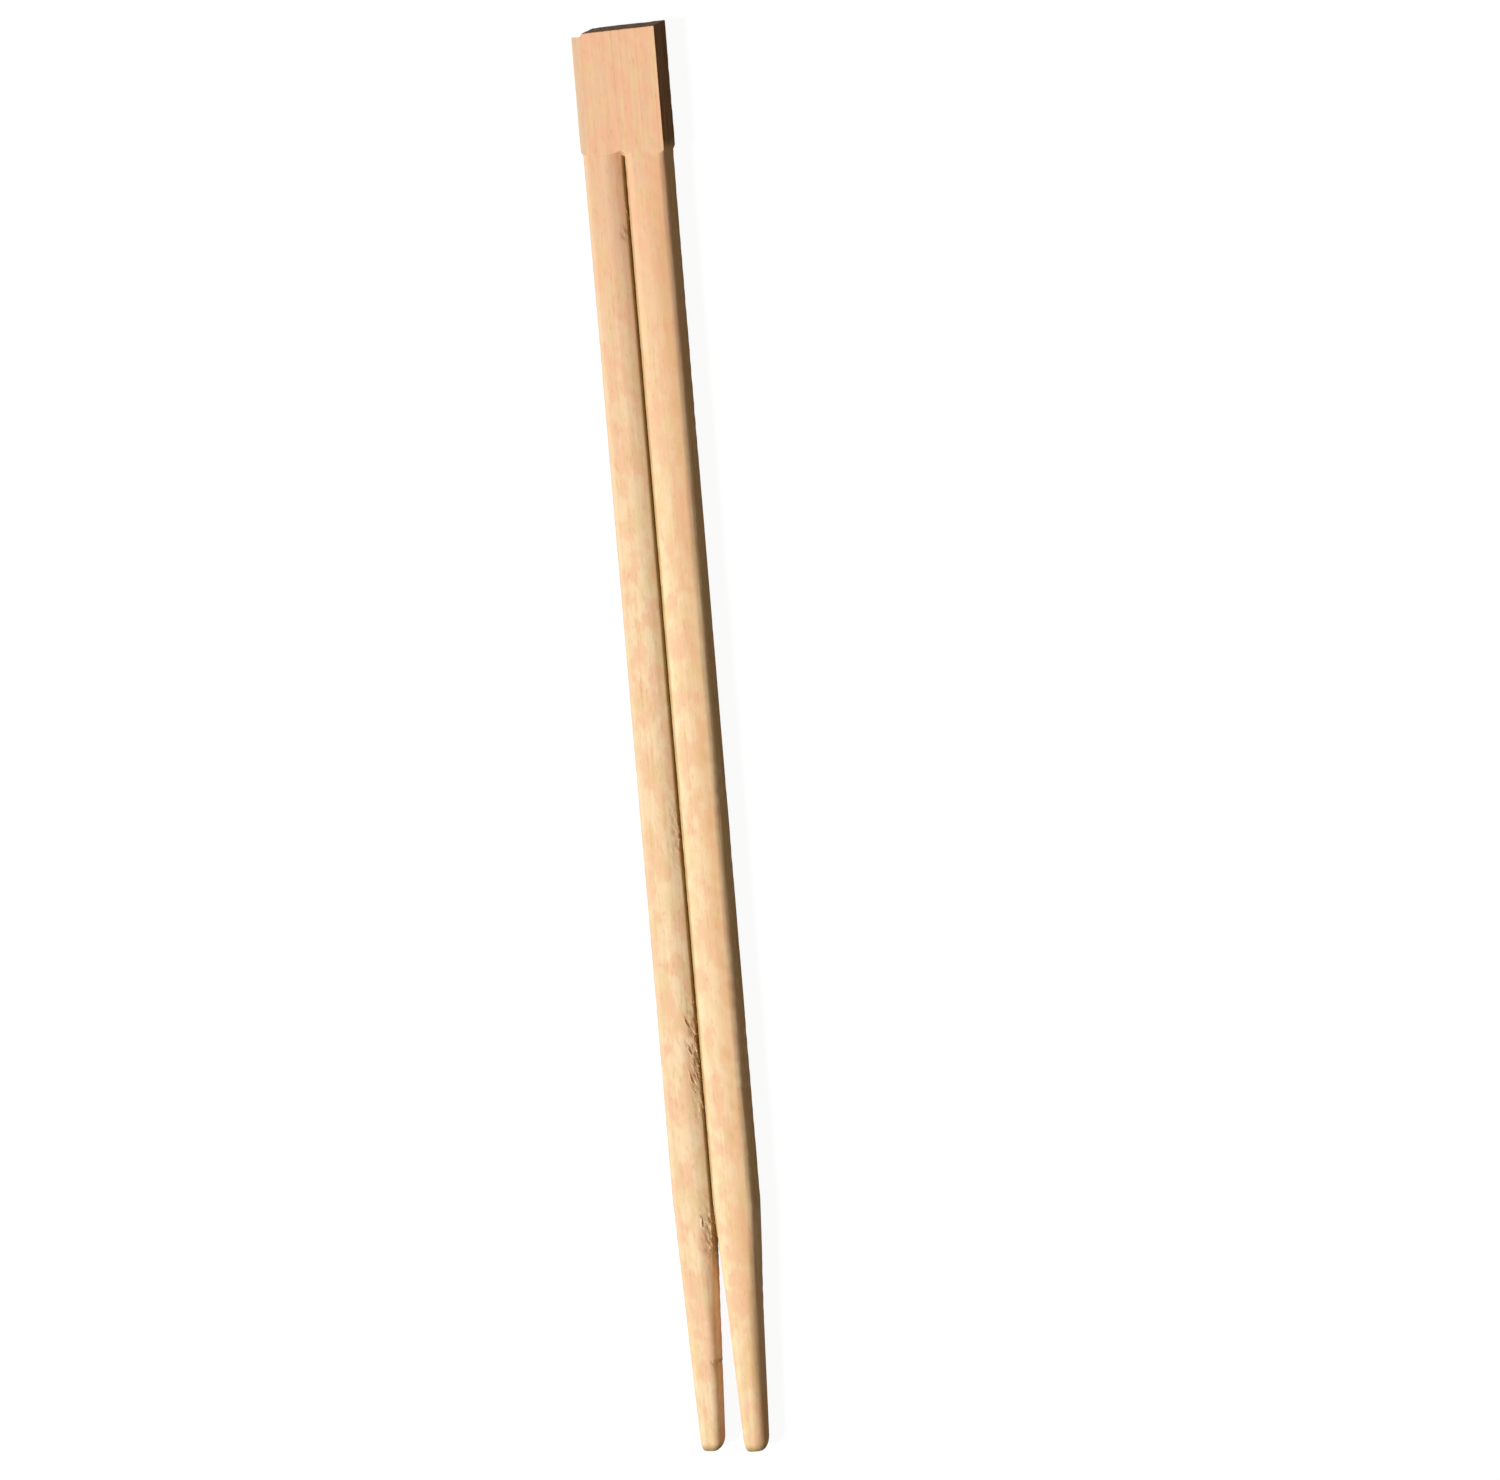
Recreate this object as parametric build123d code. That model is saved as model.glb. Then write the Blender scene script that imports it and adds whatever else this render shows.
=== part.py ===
from build123d import *
from math import radians, tan
import os

# A pair of disposable bamboo chopsticks, still joined. One flat strip of bamboo is planed
# from above and below by a shaped cutter, which leaves a square head and two rounded sticks
# with a shallow groove between them. A blade slits the floor of the groove, above and below,
# down to a thin web. The last stretch is slit right through and ground to points.
# X runs across the pair, +Y runs towards the head, +Z runs up through the thickness.
# The origin is under the middle of the strip, on the surface that it lies on. Millimetres.

# Strip and head
length = 210.0             # tip ends to head end
head_width = 12.6
head_thickness = 5.0
head_length = 17.3         # flat head, from its end to the first bite of the cutters
head_end_slant = 0.8       # the saw cut is off square by this much across the head
head_end_lean = 0.15       # and by this much through its thickness
edge_break = 0.25          # sanded arris along the strip and round its sawn end
splinter_width = 1.6       # a splinter has come off the left corner of the sawn end
splinter_top = 0.4         # its length along the upper face
splinter_under = 2.2       # and along the underside

# Sticks
side_cut = 0.06            # the cutters skim this much off each side of the strip
outer_round = 1.4          # shoulders along the outside of the pair
left_flank = 2.7           # width of the left flank of the groove, a gentle curve
right_flank = 1.6          # width of the right flank, which is steeper
groove_depth = 0.9         # depth of both flanks, where they meet the slot
groove_offset = -0.5       # the groove runs a little to one side of the middle
slot_width = 0.35          # cut of the blade in the floor of the groove
web_thickness = 1.0        # bamboo left between the two slots, which snaps in use
cutter_overlap = 0.4       # how far each cutter's outer teeth reach past the middle height
lift_angle = 58.0          # degrees, at which the cutters lift out of the strip at the head

# Tips
taper_length = 38.0        # ground taper, from the tip ends
web_tail = 3.0             # the web runs on into the taper this far before the open slit
left_tip_diameter = 3.5
right_tip_diameter = 3.7
tip_gap = 3.2              # clear space between the two tips
tip_offset = -0.35         # the middle of that space lies a little to one side
tip_bevel_length = 2.6     # blunt bevel at the end of each point
tip_end_share = 0.7        # flat that is left on each point, as a share of the tip's diameter
tip_end_shift = 0.4        # the bevel is cut from the right, so the flat lies to the left
tip_round_share = 0.95     # corner round of a tip, as a share of its half width

# Common to all cuts
overrun = 1.0

head_end = length / 2
tip_end = -length / 2
taper_start = tip_end + taper_length
bevel_start = tip_end + tip_bevel_length
middle = head_thickness / 2
stick_side = head_width / 2 - side_cut
slot_left = groove_offset - slot_width / 2
slot_right = groove_offset + slot_width / 2

# The outer shoulders are the cutters' deepest bite, so they are the last to leave the strip.
runout_length = outer_round / tan(radians(lift_angle))
stick_end = head_end - head_length - runout_length


def across(y):
    """Plane across the strip at Y, with its origin at the middle height, facing the tips."""
    return Plane(origin=(0, y, middle), x_dir=(1, 0, 0), z_dir=(0, -1, 0))


def stick_outline(left, right, thickness, left_corner, right_corner):
    """Section of one stick, with flat crowns and flat sides.

    Each corner is an arc that leaves the crown smoothly, given by its width along the crown
    and its depth. Where the two are the same it is a quarter round.
    """
    half = thickness / 2
    left_width, left_depth = left_corner
    right_width, right_depth = right_corner
    edges = [
        Line((left, left_depth - half), (left, half - left_depth)),
        Line((right, right_depth - half), (right, half - right_depth)),
    ]
    for face in (half, -half):
        inward = -1 if face > 0 else 1
        crown_start, crown_end = (left + left_width, face), (right - right_width, face)
        edges += [
            TangentArc(crown_start, (left, face + inward * left_depth), tangent=(-1, 0)),
            Line(crown_start, crown_end),
            TangentArc(crown_end, (right, face + inward * right_depth), tangent=(1, 0)),
        ]
    return make_face(edges)


def left_stick():
    outer, flank = (outer_round, outer_round), (left_flank, groove_depth)
    return stick_outline(-stick_side, slot_left, head_thickness, outer, flank)


def right_stick():
    outer, flank = (outer_round, outer_round), (right_flank, groove_depth)
    return stick_outline(slot_right, stick_side, head_thickness, flank, outer)


def slot_floor():
    """Section of what the blade leaves standing between the sticks, below the upper slot."""
    return Pos(groove_offset, 0) * Rectangle(slot_width + 2 * overrun, web_thickness)


def cutter_teeth():
    """Section of the upper cutter: one tooth for the groove and one for each outer shoulder.

    The outer teeth reach past the middle height, so they meet those of the lower cutter. The
    groove tooth ends at the mouth of the slot.
    """
    top = middle + overrun
    flanks = left_flank + slot_width + right_flank
    outer_tooth = outer_round + side_cut + overrun
    outer_place = stick_side - outer_round + outer_tooth / 2
    teeth = Sketch()
    for place, width, bottom in (
        (-outer_place, outer_tooth, -cutter_overlap),
        (groove_offset + (right_flank - left_flank) / 2, flanks, middle - groove_depth),
        (outer_place, outer_tooth, -cutter_overlap),
    ):
        teeth += Pos(place, (top + bottom) / 2) * Rectangle(width, top - bottom)
    return teeth - left_stick() - right_stick()


def cutter_path():
    """The upper cutter's way: straight along the sticks, then up and out at the head."""
    section = across(stick_end) * cutter_teeth()
    rise = middle + overrun
    run = rise / tan(radians(lift_angle))
    along = extrude(section, stick_end - taper_start + overrun)
    return along + extrude(section, Vector(0, run, rise).length, dir=(0, run, rise))


def upper_slot():
    """The blade's cut in the floor of the upper groove, from the tapers to the head."""
    depth = middle - web_thickness / 2 + overrun
    section = Pos(groove_offset, web_thickness / 2 + depth / 2) * Rectangle(slot_width, depth)
    return extrude(across(stick_end) * section, stick_end - taper_start + overrun)


def splinter():
    """What has split off along the grain at the left corner of the sawn end."""
    corner = Plane(
        origin=(-head_width / 2 + splinter_width, head_end - head_end_slant, 0),
        x_dir=(0, 1, 0),
        z_dir=(1, 0, 0),
    )
    beyond = head_end_slant + overrun
    lower, upper = -overrun, head_thickness + overrun
    top_start = -head_end_lean - splinter_top
    face = make_face(
        Polyline(
            (-splinter_under, lower), (-splinter_under, 0), (top_start, head_thickness),
            (top_start, upper), (beyond, upper), (beyond, lower), close=True,
        )
    )
    return extrude(corner * face, -splinter_width - overrun)


def strip():
    """The blank, from the start of the taper to the sawn head, with its edges broken."""
    blank = Pos(0, (head_end + taper_start) / 2, middle) * Box(
        head_width, head_end - taper_start, head_thickness
    )
    saw_cut = Plane(
        origin=(head_width / 2, head_end, 0),
        z_dir=(-head_end_slant / head_width, 1, head_end_lean / head_thickness),
    )
    blank = split(blank, bisect_by=saw_cut, keep=Keep.BOTTOM)
    sanded = blank.edges().group_by(Axis.Y)[1:]
    blank = chamfer([edge for group in sanded for edge in group], edge_break)
    return blank - splinter()


def tip_outline(centre, diameter):
    """Section of a ground tip: nearly round, with the same corners as a stick's section."""
    half = diameter / 2
    corner = (half * tip_round_share, half * tip_round_share)
    return stick_outline(centre - half, centre + half, diameter, corner, corner)


def point(stick, side, diameter):
    """One stick's ground taper and its blunt bevel. Side is -1 for the left, 1 for the right."""
    centre = tip_offset + side * (tip_gap + diameter) / 2
    sections = [
        across(taper_start) * stick,
        across(bevel_start) * tip_outline(centre, diameter),
        across(tip_end) * tip_outline(centre - tip_end_shift, diameter * tip_end_share),
    ]
    return loft(sections, ruled=True)


def web_end():
    """The last of the web, between the start of the taper and the end of the slit."""
    return extrude(across(taper_start) * slot_floor(), web_tail)


def chopstick_pair():
    cuts = cutter_path() + upper_slot()
    pair = strip() - cuts - mirror(cuts, Plane.XY.offset(middle)) + web_end()
    pair += point(left_stick(), -1, left_tip_diameter)
    return pair + point(right_stick(), 1, right_tip_diameter)


os.makedirs("parts", exist_ok=True)
export_step(chopstick_pair(), "parts/chopstick_pair.step")
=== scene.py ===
import bmesh
import bpy
import numpy as np
from math import atan2, cos, pi, radians, sin, sqrt, tan
from mathutils import Matrix, Vector


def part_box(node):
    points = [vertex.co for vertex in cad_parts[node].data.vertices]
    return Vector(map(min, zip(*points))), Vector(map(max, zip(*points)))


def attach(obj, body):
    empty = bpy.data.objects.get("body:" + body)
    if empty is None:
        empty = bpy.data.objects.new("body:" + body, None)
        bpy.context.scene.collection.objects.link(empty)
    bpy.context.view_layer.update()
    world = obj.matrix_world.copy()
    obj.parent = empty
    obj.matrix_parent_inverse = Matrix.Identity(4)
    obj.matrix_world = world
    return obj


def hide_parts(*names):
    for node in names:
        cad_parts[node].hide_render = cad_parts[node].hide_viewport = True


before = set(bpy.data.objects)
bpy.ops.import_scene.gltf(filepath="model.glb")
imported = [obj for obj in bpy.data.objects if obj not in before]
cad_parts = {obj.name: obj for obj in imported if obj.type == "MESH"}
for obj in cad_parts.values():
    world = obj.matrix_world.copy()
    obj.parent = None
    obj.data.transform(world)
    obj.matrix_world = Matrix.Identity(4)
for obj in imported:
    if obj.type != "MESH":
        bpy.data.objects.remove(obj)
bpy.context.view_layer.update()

# The joined pair
# One flat strip of bamboo, planed from above and below by a cutter with three teeth. That leaves
# a square head and two rounded sticks, with a shallow groove between them whose floor is slit
# down to a thin web. The last stretch is slit right through and ground to two blunt points.

# Sizes in millimetres. X runs across the pair, Y towards the head, and Z up from its middle.
MM = 0.001
lowest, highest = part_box("chopstick_pair")
strip_side = (highest.x - lowest.x) / 2 / MM
half_height = (highest.z - lowest.z) / 2 / MM
tip_end = lowest.y / MM
head_end = -tip_end

head_length = 17.6         # flat head, from its end to the first bite of the cutters
head_end_slant = 0.8       # the saw cut is off square by this much across the head
head_end_lean = 0.15       # and by this much through its thickness
arris = 0.16               # sanded edge along the strip and round its sawn end
splinter_width = 1.6       # a splinter has come off the left corner of the sawn end
splinter_top = 0.4         # its length along the upper face
splinter_under = 2.2       # and along the underside
splinter_blend = 0.2       # width of the step beside it

side_cut = 0.06            # the cutters skim this much off each side of the strip
outer_round = 1.1          # shoulders along the outside of the pair
left_flank = 2.6           # width of the left flank of the groove, a gentle curve
right_flank = 1.6          # width of the right flank, which is steeper
groove_depth = 0.9         # depth of both flanks, where they meet the slot
groove_offset = -0.24      # the groove runs a little to one side of the middle
slot_width = 0.35          # cut of the blade in the floor of the groove
slot_rise = 1.2            # the slot's floor comes up over this length at the head
web_thickness = 1.0        # bamboo left between the two slots, which snaps in use
lift_slope = tan(radians(58))    # at which the cutters lift out of the strip at the head
runout_soft = 0.3          # the edge that they leave there is softened over this height

taper_length = 38.0        # ground taper, from the tip ends
web_tail = 5.5             # the web runs on into the taper this far before the open slit
left_tip_diameter = 3.5
right_tip_diameter = 3.7
tip_gap = 3.2              # clear space between the two tips
tip_offset = -0.35         # the middle of that space lies a little to one side
tip_bevel_length = 2.6     # each point is rounded off over this length
tip_end_share = 0.5        # what is left of its diameter at the very end
tip_end_shift = 0.4        # more is cut from the right, so the end lies to the left
tip_round_share = 0.7      # corner round of a tip, as a share of its half width
right_round_share = 0.95   # the right point is rounder along its right side
rounding_pace = 1.6        # the corners round off sooner than the stick tapers

# The crowns are bowed a little, the right one more, and come up level before the head.
left_bow = 0.1
right_bow = 0.42
bow_fade = 12.0

stick_side = strip_side - side_cut
slot_left = groove_offset - slot_width / 2
slot_right = groove_offset + slot_width / 2
taper_start = tip_end + taper_length
slit_start = taper_start - web_tail
bevel_start = tip_end + tip_bevel_length
runout_length = outer_round / lift_slope
stick_end = head_end - head_length - runout_length
splinter_wall = splinter_width - strip_side

# How fine the mesh is: steps round a section, then the distance between sections.
round_steps = 14
crown_steps = 13
wall_steps = 3             # on the wall of the slot, above or below the web
web_steps = 4              # across the web, and through its thickness
side_steps = 2 * wall_steps + web_steps
stick_steps = 2 * round_steps + crown_steps
arris_steps = 4
bevel_steps = 12
long_step = 0.7
torn_step = 0.25
runout_step = 0.1
wall_lean = 0.01           # keeps the lines of a slot's wall apart where the slot ends
spread_length = 3.0        # past the run-out, where the lines spread out over the flat head
saw_reach = 10.0           # the head's sections lean over this length to meet the askew end
weld_distance = 1e-7       # metres, within which the points of neighbouring sheets are one


def smooth(share):
    """Goes from 0 to 1 with soft ends, as the share does."""
    share = np.clip(share, 0, 1)
    return share * share * (3 - 2 * share)


def stick_sizes(y):
    """Both sticks at a place: left, right, half height, bow, and each corner's width and depth."""
    ground = min(max((taper_start - y) / (taper_start - bevel_start), 0.0), 1.0)
    past = min(max((bevel_start - y) / tip_bevel_length, 0.0), 1.0)
    blunt = 1 - sqrt(1 - past**2)
    rounded = smooth(ground * rounding_pace)
    bows = [bow * smooth((stick_end - y) / bow_fade) for bow in (left_bow, right_bow)]
    outer, left_inner, right_inner = [
        [(width, depth - bow) for bow in bows]
        for width, depth in (
            (outer_round, outer_round), (left_flank, groove_depth), (right_flank, groove_depth),
        )
    ]
    left_stick = (-stick_side, slot_left, half_height, bows[0], *outer[0], *left_inner[0])
    right_stick = (slot_right, stick_side, half_height, bows[1], *right_inner[1], *outer[1])
    sizes = []
    for side, diameter, planed, right_share in (
        (-1, left_tip_diameter, left_stick, tip_round_share),
        (1, right_tip_diameter, right_stick, right_round_share),
    ):
        half = diameter / 2 * (1 - (1 - tip_end_share) * blunt)
        centre = tip_offset + side * (tip_gap + diameter) / 2 - tip_end_shift * blunt
        left_corner, right_corner = [half * tip_round_share] * 2, [half * right_share] * 2
        tip = (centre - half, centre + half, half, 0, *left_corner, *right_corner)
        shares = [ground] * 4 + [rounded] * 4
        sizes.append([a + (b - a) * share for a, b, share in zip(planed, tip, shares)])
    return sizes


def corner_arc(width, depth):
    """An arc that leaves the crown smoothly: its reach along the crown, and its fall."""
    radius = (width**2 + depth**2) / (2 * depth)
    turn = np.linspace(0, 2 * atan2(depth, width), round_steps + 1)
    return radius * np.sin(turn), radius * (1 - np.cos(turn))


def crown(left, right, half, bow, left_width, left_depth, right_width, right_depth):
    """Upper outline of one stick, from its left side over the crown to its right side."""
    crown_left, crown_right = left + left_width, right - right_width
    left_reach, left_fall = corner_arc(left_width, left_depth)
    right_reach, right_fall = corner_arc(right_width, right_depth)
    level = np.linspace(crown_left, crown_right, crown_steps + 1)[1:-1]
    x = np.concatenate((crown_left - left_reach[::-1], level, crown_right + right_reach))
    fall = np.concatenate((left_fall[::-1], 0 * level, right_fall))
    from_middle = (2 * x - left - right) / (right - left)
    return x, half - fall - bow * from_middle**2


def planed_outline(y):
    """Upper outline of the pair: left stick, slot wall, slot floor, slot wall, right stick."""
    (left_x, left_z), (right_x, right_z) = [crown(*sizes) for sizes in stick_sizes(y)]
    whole = y >= slit_start
    lean = wall_lean if whole else 0
    if whole:
        mouth = half_height - groove_depth
        deepest = mouth + (web_thickness / 2 - mouth) * smooth((stick_end - y) / slot_rise)
        floors = deepest, deepest
    else:
        floors = [edge * web_steps / side_steps for edge in (left_z[-1], right_z[0])]
    down = np.linspace(0, 1, wall_steps + 1)[1:]
    web = np.linspace(left_x[-1], right_x[0], web_steps + 1)[1:-1]
    x = [left_x, left_x[-1] + lean * down, web, right_x[0] - lean * down[::-1], right_x]
    z = [left_z, left_z[-1] + (floors[0] - left_z[-1]) * down, np.full(len(web), floors[0])]
    z += [right_z[0] + (floors[1] - right_z[0]) * down[::-1], right_z]
    return np.concatenate(x), np.concatenate(z)


def runout_outline(y):
    """Upper outline from the run-out, where the cutter lifts out, to the head's end."""
    x, z = planed_outline(stick_end)
    along = y - stick_end
    side = stick_side + side_cut * smooth(along / runout_length)
    x = x * side / stick_side
    flat = slice(round_steps, len(x) - round_steps)
    even = np.linspace(x[flat][0], x[flat][-1], len(x[flat]))
    x[flat] += (even - x[flat]) * smooth((along - runout_length) / spread_length)
    edge = np.clip(np.abs(x) - (side - arris), 0, arris)
    face = half_height - arris + np.sqrt(arris**2 - edge**2)
    bed = z + along * lift_slope
    # The lower of the two counts, rounded off a little where they cross.
    near = np.clip(1 - np.abs(bed - face) / runout_soft, 0, 1)
    return x, np.minimum(bed, face) - runout_soft / 4 * near**2


def outline(y):
    """Upper outline at a place, drawn in at the last of the head for the end's arris."""
    x, z = planed_outline(y) if y < stick_end else runout_outline(y)
    past = max(y - (head_end - arris), 0)
    inset = arris - sqrt(arris**2 - min(past, arris) ** 2)
    return x * (1 - inset / strip_side), z * (1 - inset / half_height)


def sawn(x, y, z):
    """Where a point of the square strip lies along it, once it is sawn askew and splintered."""
    near = np.clip((y - head_end + saw_reach) / saw_reach, 0, 1)
    rise = (z + half_height) / (2 * half_height)
    askew = head_end_slant * (strip_side - x) / (2 * strip_side) + head_end_lean * rise
    y = y - near * askew
    torn = splinter_under + (head_end_lean + splinter_top - splinter_under) * rise
    past = np.maximum(y - (head_end - head_end_slant - torn), 0)
    return y - past * smooth((splinter_wall - x) / splinter_blend)


# The blade tore the grain on the left flank of the groove along these stretches, and nicked the
# left point last of all: middle, half length and strength of each.
torn_stretches = (
    (75.4, 1.1, 0.65), (-12.0, 5.0, 0.6), (-45.0, 8.0, 1.0), (-71.5, 4.0, 1.0), (-91.3, 0.6, 0.9),
)
torn_width = 2.0           # of the flank beside the slot
tear_turn = 22             # degrees, between a tear and the sticks
least_torn = 0.1           # strength from which the mesh is finer


def torn_share(y):
    """How torn the grain is at a place along the strip."""
    return max(share * np.exp(-(((y - at) / half) ** 2)) for at, half, share in torn_stretches)


def fray(x, y):
    """How torn each point of a row is, which is only so on the left flank of the groove."""
    inner = stick_sizes(y)[0][1]
    on_flank = smooth((x - inner + torn_width) / torn_width) * (x < inner + slot_width / 2)
    return torn_share(y) * on_flank


def between(start, end, step):
    """Places from start up to end, closer together where the grain is torn.

    The last of them keeps half of the finest step away from the end.
    """
    places = [start]
    while end - places[-1] > 1.5 * torn_step:
        chosen = min(torn_step, step) if torn_share(places[-1]) > least_torn else step
        places.append(min(places[-1] + chosen, end - torn_step / 2))
    return places


bevel_turn = np.linspace(0, pi / 2, bevel_steps + 1)[:-1]
slit_places = list(tip_end + tip_bevel_length * (1 - np.cos(bevel_turn)))
slit_places += between(bevel_start, slit_start, long_step)
runout_end = stick_end + runout_length + torn_step
whole_places = between(slit_start, stick_end - slot_rise, long_step)
whole_places += list(np.arange(stick_end - slot_rise, runout_end, runout_step))
whole_places += between(runout_end, head_end - arris, long_step)
whole_places += list(head_end - arris + arris * np.sin(np.linspace(0, pi / 2, arris_steps + 1)))
split_places = slit_places + whole_places[:1]
outlines = {y: outline(y) for y in slit_places + whole_places}

planks = bmesh.new()
end_layer = planks.verts.layers.float.new("sawn_end")
fray_layer = planks.verts.layers.float.new("fray")
splinter_shade = 0.4       # share of the sawn end's painted shade that the wood under the splinter gets


def skin(rows):
    """A sheet of faces over rows of points at a place, each row given as x, y and z."""
    made = []
    for x, y, z in rows:
        x, z = np.broadcast_arrays(x, z)
        points = [planks.verts.new(Vector(p) * MM) for p in zip(x, sawn(x, y, z), z + half_height)]
        beside = smooth((x - splinter_wall) / splinter_blend)
        # The splinter's torn face takes part of the sawn end's painted shade.
        end_shade_share = splinter_shade + (1 - splinter_shade) * beside
        at_end = max(y - (head_end - arris), 0) / arris * end_shade_share
        for point, end, torn in zip(points, at_end, fray(x, y)):
            point[end_layer] = end
            point[fray_layer] = torn
        made.append(points)
    for low, high in zip(made, made[1:]):
        for i in range(len(low) - 1):
            planks.faces.new((low[i], low[i + 1], high[i + 1], high[i]))


up = np.linspace(-1, 1, side_steps + 1)
web_up = np.linspace(-1, 1, web_steps + 1)
left_wall = stick_steps + wall_steps
right_wall = left_wall + web_steps
web_span = slice(left_wall, right_wall + 1)
for side in (0, -1):
    skin([(x[side], y, up * z[side]) for y, (x, z) in outlines.items()])
for face in (1, -1):
    skin([(outlines[y][0], y, face * outlines[y][1]) for y in whole_places])
    for part in (slice(0, left_wall + 1), slice(right_wall, None)):
        skin([(outlines[y][0][part], y, face * outlines[y][1][part]) for y in split_places])
for wall in (left_wall, right_wall):
    skin([(outlines[y][0][wall], y, web_up * outlines[y][1][wall]) for y in split_places])
for part, y, rows in (
    (slice(0, stick_steps + 1), tip_end, up),
    (slice(right_wall + wall_steps, None), tip_end, up),
    (web_span, slit_start, web_up),
    (slice(0, None), head_end, up),
):
    x, z = outlines[y]
    skin([(x[part], y, row * z[part]) for row in rows])

bmesh.ops.remove_doubles(planks, verts=planks.verts, dist=weld_distance)
bmesh.ops.recalc_face_normals(planks, faces=planks.faces)
for face in planks.faces:
    face.smooth = True
planed_mesh = bpy.data.meshes.new("planed_pair")
planks.to_mesh(planed_mesh)
planks.free()


def linear(shade):
    """An sRGB hex colour as linear values."""
    values = [int(shade[i : i + 2], 16) / 255 for i in (1, 3, 5)]
    return [v / 12.92 if v <= 0.04045 else ((v + 0.055) / 1.055) ** 2.4 for v in values] + [1]


def add(tree, kind, *inputs, **settings):
    """Adds a node. Each input is a socket's name or number, with its value or its source.

    A source is another node's socket, or a node, which gives the first output that it uses.
    """
    made = tree.nodes.new(kind)
    for name, value in settings.items():
        setattr(made, name, value)
    for socket, value in inputs:
        if isinstance(value, bpy.types.Node):
            value = next(outlet for outlet in value.outputs if outlet.enabled)
        if isinstance(value, bpy.types.NodeSocket):
            tree.links.new(value, made.inputs[socket])
        else:
            made.inputs[socket].default_value = value
    return made


def cleared(owner):
    """The node tree of a material or a world, with nothing in it."""
    owner.use_nodes = True
    owner.node_tree.nodes.clear()
    return owner.node_tree


def along_grain(tree, place, across, along, turn=0.0):
    """Coordinates in units of one grain, from its sizes across and along the sticks."""
    turned = ("Vector", place), ("Angle", radians(-turn))
    lying = add(tree, "ShaderNodeVectorRotate", *turned, rotation_type="Z_AXIS")
    size = add(tree, "ShaderNodeCombineXYZ", (0, across), (1, along), (2, across))
    return add(tree, "ShaderNodeVectorMath", (0, lying), (1, size), operation="DIVIDE")


# Planed and lightly sanded bamboo, with no coating: pale and matt, mottled pink and straw. Its
# fibre bundles, about 0.6 mm apart, show as long faint streaks on the planed faces and as brown
# dots on the sawn end. Shade and sheen are painted into the colour too: painted shade on the
# strip's right side, darkest on the head, and a pale painted sheen on its left side.
bamboo = bpy.data.materials.new("planed_bamboo")
tree = cleared(bamboo)
place = add(tree, "ShaderNodeTexCoord").outputs["Object"]
spot = add(tree, "ShaderNodeSeparateXYZ", (0, place)).outputs
sawn_end_share = add(tree, "ShaderNodeAttribute", attribute_name="sawn_end").outputs["Fac"]
torn_grain = add(tree, "ShaderNodeAttribute", attribute_name="fray").outputs["Fac"]

# Fibre bundles: dark out to 0.12 of their pitch from their middles, and gone at 0.34 of it.
bundle_pitch, bundle_length = 0.62 * MM, 60 * MM
bundles = add(
    tree, "ShaderNodeTexVoronoi", ("Scale", 1.0),
    ("Vector", along_grain(tree, place, bundle_pitch, bundle_length)),
)
core = add(
    tree, "ShaderNodeMapRange", ("Value", bundles), ("From Min", 0.12), ("From Max", 0.34),
    ("To Min", 1.0), ("To Max", 0.0), interpolation_type="SMOOTHSTEP",
)

# Patterns of the grain: millimetres across and along, detail, turn in degrees, the noise from
# and up to which each spreads, and its share at both.
grain = {}
for name, across, along, detail, turn, low, high, least, most in (
    ("pink patches", 2.0, 3.6, 3.0, 0, 0.4, 0.6, 0.0, 0.5),
    ("straw patches", 1.7, 4.6, 4.0, 0, 0.48, 0.64, 0.0, 0.4),
    ("bundle streaks", 0.5, 24.0, 3.0, 0, 0.4, 0.68, 0.0, 0.12),
    ("flecks", 0.3, 1.4, 5.0, 0, 0.54, 0.72, 0.0, 0.24),
    ("lip shade mottling", 0.4, 2.4, 3.0, 0, 0.3, 0.6, 0.6, 0.9),
    ("gaps in torn grain", 0.3, 1.6, 4.0, tear_turn, 0.42, 0.6, 0.0, 0.7),
    ("side streaks", 0.35, 12.0, 4.0, 0, 0.4, 0.62, 0.0, 1.0),
    ("roughness", 0.4, 12.0, 3.0, 0, 0.3, 0.7, 0.55, 0.7),
):
    lying = along_grain(tree, place, across * MM, along * MM, turn)
    noise = add(
        tree, "ShaderNodeTexNoise", ("Vector", lying), ("Scale", 1.0), ("Detail", detail),
    )
    grain[name] = add(
        tree, "ShaderNodeMapRange", ("Value", noise), ("From Min", low), ("From Max", high),
        ("To Min", least), ("To Max", most), interpolation_type="SMOOTHSTEP",
    )

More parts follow.
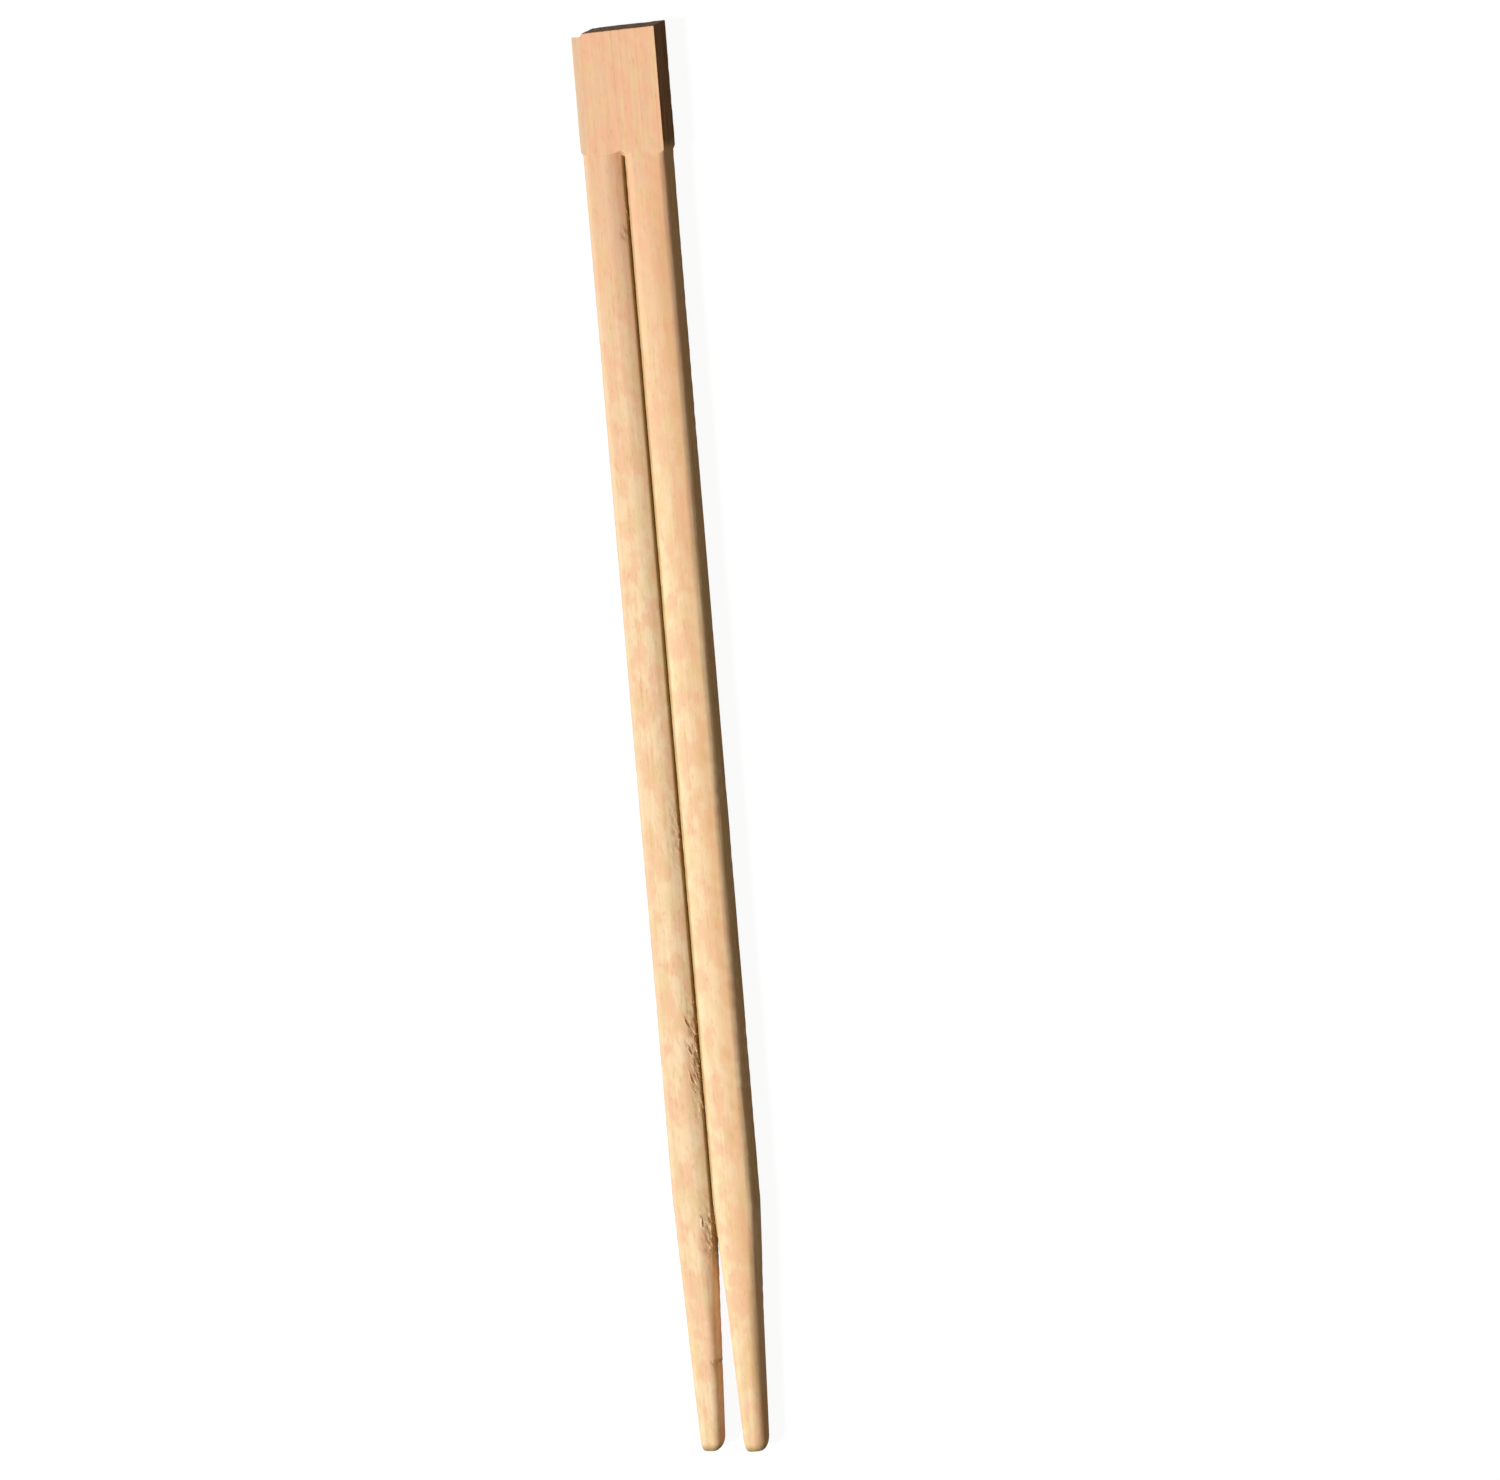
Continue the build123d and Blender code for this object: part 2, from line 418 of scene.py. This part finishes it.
# Zones of the strip: what each is measured along, its two ends in millimetres, and its share at
# both. Painted shade darkens the lips of the slot, a little more on the right.
lip_shade_shift = 0.12        # from the middle of the slot to the middle of its shaded lips
lips = (0, spot["X"]), (1, (groove_offset + lip_shade_shift) * MM)
off_middle = add(tree, "ShaderNodeMath", *lips, operation="SUBTRACT")
from_slot = add(tree, "ShaderNodeMath", (0, off_middle), operation="ABSOLUTE")
zone = {}
for name, place_along, low, high, first, last in (
    ("towards the head", spot["Y"], 20.0, 90.0, 0.0, 1.0),
    ("planed sticks", spot["Y"], stick_end - 1.0, stick_end + 0.4, 1.0, 0.0),
    ("head", spot["Y"], stick_end, stick_end + 2.0, 0.0, 1.0),
    ("shaded tip ends", spot["Y"], tip_end, tip_end + 1.6, 0.9, 0.0),
    ("slot lips", from_slot, slot_width / 2 + 0.1, slot_width / 2 + 0.5, 1.0, 0.0),
    ("left side", spot["X"], -stick_side, 1.5 - stick_side, 0.5, 0.0),
    ("right shoulder", spot["X"], 2.4, 4.8, 0.0, 0.4),
    ("before the edge", spot["X"], 5.0, 6.0, 1.0, 0.0),
    # The right side, turned away from the lamp, where shade is painted.
    ("right side", spot["X"], stick_side - 0.1, stick_side + 0.02, 0.0, 1.0),
):
    zone[name] = add(
        tree, "ShaderNodeMapRange", ("Value", place_along), ("From Min", low * MM),
        ("From Max", high * MM), ("To Min", first), ("To Max", last),
        interpolation_type="SMOOTHSTEP",
    )

# Each layer's shade is laid over the ones before it by the product of its shares. A colour mix
# takes the share, the colour below and the colour above at its inputs 0, 6 and 7.
colour = linear("#f9ddb5")
for shade, share, *others in (
    ("#ebc09d", zone["towards the head"]),
    ("#f2b592", grain["pink patches"]),
    ("#e8cf93", grain["straw patches"]),
    ("#dcae7c", grain["bundle streaks"]),
    ("#c9945f", grain["flecks"]),
    ("#b9824c", core, 0.1),
    # Painted shade in the slot and along its lips, mottled.
    ("#b89c68", zone["slot lips"], zone["planed sticks"], grain["lip shade mottling"]),
    # Painted shade in the gaps between the torn fibres.
    ("#a67a42", torn_grain, grain["gaps in torn grain"]),
    # A pale painted sheen along the left side, which faces the lamp.
    ("#dccab0", zone["left side"]),
    # Painted shade, warm, where the right stick's shoulder turns away from the lamp.
    ("#e5ad76", zone["right shoulder"], zone["before the edge"], zone["planed sticks"]),
    # Painted shade on the right side: a darker, streaked wall along the sticks and a dark brown
    # side on the head.
    ("#e4c088", zone["right side"], 0.85),
    ("#b98a4a", zone["right side"], grain["side streaks"], 0.4),
    ("#82541a", zone["right side"], zone["head"], 0.95),
    ("#5a360e", zone["right side"], zone["head"], grain["side streaks"], 0.6),
    # Painted shade on the last of each point, darker towards its end.
    ("#94804f", zone["shaded tip ends"]),
    # Painted shade on the sawn end, which faces away from the lamp, and the brown dots of its
    # fibre bundles.
    ("#74502e", sawn_end_share, 0.95),
    ("#3a2210", sawn_end_share, core),
):
    for other in others:
        share = add(tree, "ShaderNodeMath", (0, share), (1, other), operation="MULTIPLY")
    layers = (0, share), (6, colour), (7, linear(shade))
    colour = add(tree, "ShaderNodeMix", *layers, data_type="RGBA")

# Fibres too fine for the mesh: millimetres across and along, detail, and height of each.
fine_relief = 0.0
for across, along, detail, height in ((0.3, 3.0, 4.0, 1.0), (0.12, 1.2, 2.0, 0.5)):
    lying = along_grain(tree, place, across * MM, along * MM)
    noise = add(
        tree, "ShaderNodeTexNoise", ("Vector", lying), ("Scale", 1.0), ("Detail", detail),
    )
    fine_relief = add(
        tree, "ShaderNodeMath", (0, noise), (1, height), (2, fine_relief),
        operation="MULTIPLY_ADD",
    )
bump = add(
    tree, "ShaderNodeBump", ("Strength", 0.6), ("Distance", 0.03 * MM), ("Height", fine_relief),
)
surface = add(
    tree, "ShaderNodeBsdfPrincipled", ("Base Color", colour), ("Normal", bump), ("IOR", 1.5),
    ("Roughness", grain["roughness"]), ("Specular IOR Level", 0.05),
)
add(tree, "ShaderNodeOutputMaterial", (0, surface))


def new_tree(name, sizes, seed):
    """A Geometry Nodes tree that takes a mesh, named sizes, a seed and a material."""
    made = bpy.data.node_groups.new(name, "GeometryNodeTree")
    inlets = [("Geometry", "NodeSocketGeometry", None)]
    inlets += [(size, "NodeSocketFloat", value) for size, value in sizes.items()]
    inlets += [("Seed", "NodeSocketInt", seed), ("Material", "NodeSocketMaterial", None)]
    for inlet, kind, value in inlets:
        socket = made.interface.new_socket(inlet, in_out="INPUT", socket_type=kind)
        if value is not None:
            socket.default_value = value
    made.interface.new_socket("Geometry", in_out="OUTPUT", socket_type="NodeSocketGeometry")
    return made


# The planed surface: long low ridges of fibre, slanting chatter from the cutter and torn grain,
# all of it cut inwards, so the pair keeps its size.
relief_sizes = {
    "Ridge Width": 0.6 * MM,
    "Ridge Length": 16 * MM,
    "Ridge Depth": 0.03 * MM,
    "Chatter Pitch": 2.6 * MM,
    "Chatter Depth": 0.03 * MM,
    "Chatter Patch Width": 3 * MM,
    "Chatter Patch Length": 9 * MM,
    "Tear Width": 0.4 * MM,
    "Tear Length": 1.6 * MM,
    "Tear Depth": 0.28 * MM,
}
chatter_slant = 0.6        # how far a chatter mark runs along the strip, for its run across
relief = new_tree("planed_surface", relief_sizes, seed=4)
tree = relief
given = add(tree, "NodeGroupInput").outputs
at = add(tree, "GeometryNodeInputPosition")
spot = add(tree, "ShaderNodeSeparateXYZ", (0, at)).outputs
pattern = {}
for name, turn, low, high in (
    ("Ridge", 0, 0.35, 0.7), ("Chatter Patch", 0, 0.45, 0.65), ("Tear", tear_turn, 0.42, 0.66),
):
    lying = along_grain(tree, at, given[name + " Width"], given[name + " Length"], turn)
    noise = add(
        tree, "ShaderNodeTexNoise", ("Vector", lying), ("W", given["Seed"]), ("Scale", 1.0),
        ("Detail", 2.0), noise_dimensions="4D",
    )
    pattern[name] = add(
        tree, "ShaderNodeMapRange", ("Value", noise), ("From Min", low), ("From Max", high),
    )
frayed = add(tree, "GeometryNodeInputNamedAttribute", ("Name", "fray"), data_type="FLOAT")
slanting = (0, spot["X"]), (1, chatter_slant), (2, spot["Y"])
marks = add(tree, "ShaderNodeMath", *slanting, operation="MULTIPLY_ADD")
for operation, value in (("DIVIDE", given["Chatter Pitch"]), ("MULTIPLY", 2 * pi)):
    marks = add(tree, "ShaderNodeMath", (0, marks), (1, value), operation=operation)
wave = add(tree, "ShaderNodeMath", (0, marks), operation="SINE")
swell = add(tree, "ShaderNodeMath", (0, wave), (1, 1.0), operation="ADD")
depth = 0.0
for name, one, other in (
    ("Ridge", pattern["Ridge"], 1.0),
    ("Chatter", swell, pattern["Chatter Patch"]),
    ("Tear", pattern["Tear"], frayed),
):
    both = add(tree, "ShaderNodeMath", (0, one), (1, other), operation="MULTIPLY")
    deepened = (0, both), (1, given[name + " Depth"]), (2, depth)
    depth = add(tree, "ShaderNodeMath", *deepened, operation="MULTIPLY_ADD")
inwards = add(tree, "ShaderNodeMath", (0, depth), (1, -1.0), operation="MULTIPLY")
normal = add(tree, "GeometryNodeInputNormal")
offset = add(tree, "ShaderNodeVectorMath", (0, normal), ("Scale", inwards), operation="SCALE")
moved = add(tree, "GeometryNodeSetPosition", ("Geometry", given["Geometry"]), ("Offset", offset))
realized = add(tree, "GeometryNodeRealizeInstances", (0, moved))
finished = add(tree, "GeometryNodeSetMaterial", (0, realized), ("Material", given["Material"]))
add(tree, "NodeGroupOutput", (0, finished))


def grow(name, source, group, material):
    """A plain mesh object from what a Geometry Nodes tree makes of a mesh."""
    piece = bpy.data.objects.new(name, source)
    bpy.context.scene.collection.objects.link(piece)
    modifier = piece.modifiers.new(group.name, "NODES")
    modifier.node_group = group
    for item in group.interface.items_tree:
        if item.item_type == "SOCKET" and item.in_out == "INPUT" and item.name == "Material":
            modifier[item.identifier] = material
    bpy.context.view_layer.update()
    evaluated = piece.evaluated_get(bpy.context.evaluated_depsgraph_get())
    made = bpy.data.meshes.new_from_object(evaluated)
    piece.modifiers.clear()
    made.name = name
    piece.data = made
    return piece


pair = grow("joined_pair", planed_mesh, relief, bamboo)
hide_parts("chopstick_pair")
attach(pair, "root")

# Torn fibres
# Slivers of bamboo that the cutter and the slitting blade lifted but didn't cut off. They stand
# up a little from the torn flank of the groove and the end of the web, rooted in the strip.
sliver_margin = 0.05       # slivers keep this far within the strip's thickness
fringe_sizes = {
    "Slivers Per Area": 2.4 / MM**2,
    "Sliver Width": 0.26 * MM,
    "Sliver Length": 1.9 * MM,
    "Lowest": sliver_margin * MM,
    "Highest": (2 * half_height - sliver_margin) * MM,
}
sliver_sides = 5
sliver_rings = 3

# Slivers differ between these limits, in the way that they point and in scale.
lean_limits = ("Min", (-0.6, 0.5, -0.05)), ("Max", (0.0, 1.0, 0.3))
size_limits = ("Min", (0.5, 0.5, 0.35)), ("Max", (1.2, 1.2, 1.3))
fringe = new_tree("lifted_slivers", fringe_sizes, seed=7)
tree = fringe
given = add(tree, "NodeGroupInput").outputs
frayed = add(tree, "GeometryNodeInputNamedAttribute", ("Name", "fray"), data_type="FLOAT")
# Squared, so that the slivers gather where the grain is torn most.
gathered = add(tree, "ShaderNodeMath", (0, frayed), (1, 2.0), operation="POWER")
per_area = (0, gathered), (1, given["Slivers Per Area"])
density = add(tree, "ShaderNodeMath", *per_area, operation="MULTIPLY")
roots = add(
    tree, "GeometryNodeDistributePointsOnFaces", ("Mesh", given["Geometry"]),
    ("Density", density), ("Seed", given["Seed"]),
)
radius = add(tree, "ShaderNodeMath", (0, given["Sliver Width"]), (1, 2.0), operation="DIVIDE")
sliver = add(
    tree, "GeometryNodeMeshCone", ("Vertices", sliver_sides), ("Side Segments", sliver_rings),
    ("Radius Top", 0.0), ("Radius Bottom", radius), ("Depth", given["Sliver Length"]),
)
lean, size = [
    add(
        tree, "FunctionNodeRandomValue", *limits, ("Seed", given["Seed"]),
        data_type="FLOAT_VECTOR",
    )
    for limits in (lean_limits, size_limits)
]
turned = add(tree, "FunctionNodeAlignRotationToVector", ("Vector", lean), axis="Z")
planted = add(
    tree, "GeometryNodeInstanceOnPoints", ("Points", roots), ("Instance", sliver),
    ("Rotation", turned), ("Scale", size),
)
realized = add(tree, "GeometryNodeRealizeInstances", (0, planted))
at = add(tree, "GeometryNodeInputPosition")
spot = add(tree, "ShaderNodeSeparateXYZ", (0, at)).outputs
level = add(
    tree, "ShaderNodeClamp", ("Value", spot["Z"]), ("Min", given["Lowest"]),
    ("Max", given["Highest"]),
)
held = add(tree, "ShaderNodeCombineXYZ", (0, spot["X"]), (1, spot["Y"]), (2, level))
moved = add(tree, "GeometryNodeSetPosition", ("Geometry", realized), ("Position", held))
finished = add(tree, "GeometryNodeSetMaterial", (0, moved), ("Material", given["Material"]))
add(tree, "NodeGroupOutput", (0, finished))

# Raw bamboo fibre, torn and not cut: a little paler and duller than the planed face.
fibre = bpy.data.materials.new("torn_bamboo_fibre")
tree = cleared(fibre)
place = add(tree, "ShaderNodeTexCoord").outputs["Object"]
lying = along_grain(tree, place, 0.4 * MM, 1.5 * MM)
noise = add(tree, "ShaderNodeTexNoise", ("Vector", lying), ("Scale", 1.0), ("Detail", 3.0))
share = add(
    tree, "ShaderNodeMapRange", ("Value", noise), ("From Min", 0.35), ("From Max", 0.65),
    interpolation_type="SMOOTHSTEP",
)
layers = (0, share), (6, linear("#fbe3bd")), (7, linear("#d9ab74"))
strand = add(tree, "ShaderNodeMix", *layers, data_type="RGBA")
dull = add(
    tree, "ShaderNodeBsdfPrincipled", ("Base Color", strand), ("Roughness", 0.75), ("IOR", 1.5),
    ("Specular IOR Level", 0.12),
)
add(tree, "ShaderNodeOutputMaterial", (0, dull))

fibres = grow("torn_fibres", pair.data.copy(), fringe, fibre)
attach(fibres, "root")

# Floor
# A plain white sheet under the pair. The camera sees it white with the pair's soft shadow. What
# it throws back on the pair is weak and warm, as from other bamboo close by.
floor_reach = 1.5          # metres, from the middle of the sheet to each side
corners = [(-floor_reach, -floor_reach, 0), (floor_reach, -floor_reach, 0)]
corners += [(floor_reach, floor_reach, 0), (-floor_reach, floor_reach, 0)]
floor_mesh = bpy.data.meshes.new("floor")
floor_mesh.from_pydata(corners, [], [(0, 1, 2, 3)])
floor = bpy.data.objects.new("floor", floor_mesh)
bpy.context.scene.collection.objects.link(floor)


def seen_directly(tree):
    """1 for rays from the camera and for what gloss or glass shows, and 0 for other light."""
    path = add(tree, "ShaderNodeLightPath").outputs
    seen = path["Is Camera Ray"]
    for ray in ("Is Glossy Ray", "Is Transmission Ray"):
        seen = add(tree, "ShaderNodeMath", (0, seen), (1, path[ray]), operation="MAXIMUM")
    return seen


# Matt white paper: the camera sees it glow just short of white, so the shadow still shows.
paper = bpy.data.materials.new("matt_white_paper")
tree = cleared(paper)
shaded = add(tree, "ShaderNodeBsdfDiffuse", ("Color", linear("#5c5c5c")))
glow = add(tree, "ShaderNodeEmission", ("Color", linear("#ffffff")), ("Strength", 0.94))
bright = add(tree, "ShaderNodeAddShader", (0, shaded), (1, glow))
dim = add(tree, "ShaderNodeBsdfDiffuse", ("Color", linear("#6e6254")))
sheet = add(tree, "ShaderNodeMixShader", (0, seen_directly(tree)), (1, dim), (2, bright))
add(tree, "ShaderNodeOutputMaterial", (0, sheet))
floor_mesh.materials.append(paper)

# Lamps
# One soft lamp, from the left and a little from the tips, shades the pair. The world adds a faint
# warm light from all round, and is plain white where the camera sees it.
towards_lamp = Vector((-0.56, -0.12, 0.82))
lamp_data = bpy.data.lights.new("window", "SUN")
lamp_data.energy = 3.3
lamp_data.angle = radians(14)
lamp = bpy.data.objects.new("window", lamp_data)
lamp.rotation_mode = "QUATERNION"
lamp.rotation_quaternion = towards_lamp.to_track_quat("Z", "Y")
bpy.context.scene.collection.objects.link(lamp)

fill_strength = 0.2
world = bpy.data.worlds.new("studio")
bpy.context.scene.world = world
tree = cleared(world)
direct = seen_directly(tree)
layers = (0, direct), (6, linear("#f6e6cc")), (7, linear("#ffffff"))
glimmer = add(tree, "ShaderNodeMix", *layers, data_type="RGBA")
strength = add(tree, "ShaderNodeMapRange", ("Value", direct), ("To Min", fill_strength))
sky = add(tree, "ShaderNodeBackground", (0, glimmer), (1, strength))
add(tree, "ShaderNodeOutputWorld", (0, sky))

# Camera
# It looks down on the pair from the right and a little from the head's side, through a long
# lens. Its angles, target and focal length are fitted to where the photograph shows the pair.
target = Vector((10.92, 1.34, 2.5)) * MM
camera_side = radians(18.5)
camera_fore = radians(12.0)
camera_roll = radians(-4.72)
camera_distance = 1.1
focal_pixels = 7671
frame_width_pixels = 1500
away = Vector((
    sin(camera_side), sin(camera_fore) * cos(camera_side), cos(camera_side) * cos(camera_fore),
))
level = away.cross(Vector((0, -1, 0))).normalized()
upright = away.cross(level)
right = cos(camera_roll) * level + sin(camera_roll) * upright
top = cos(camera_roll) * upright - sin(camera_roll) * level
camera_data = bpy.data.cameras.new("camera")
camera_data.lens = focal_pixels / frame_width_pixels * camera_data.sensor_width
camera_data.clip_start = 0.01
camera = bpy.data.objects.new("camera", camera_data)
facing = Matrix((right, top, away)).transposed().to_4x4()
camera.matrix_world = Matrix.Translation(target + away * camera_distance) @ facing
bpy.context.scene.collection.objects.link(camera)
bpy.context.scene.camera = camera
bpy.context.scene.view_settings.view_transform = "Standard"

bpy.context.view_layer.update()
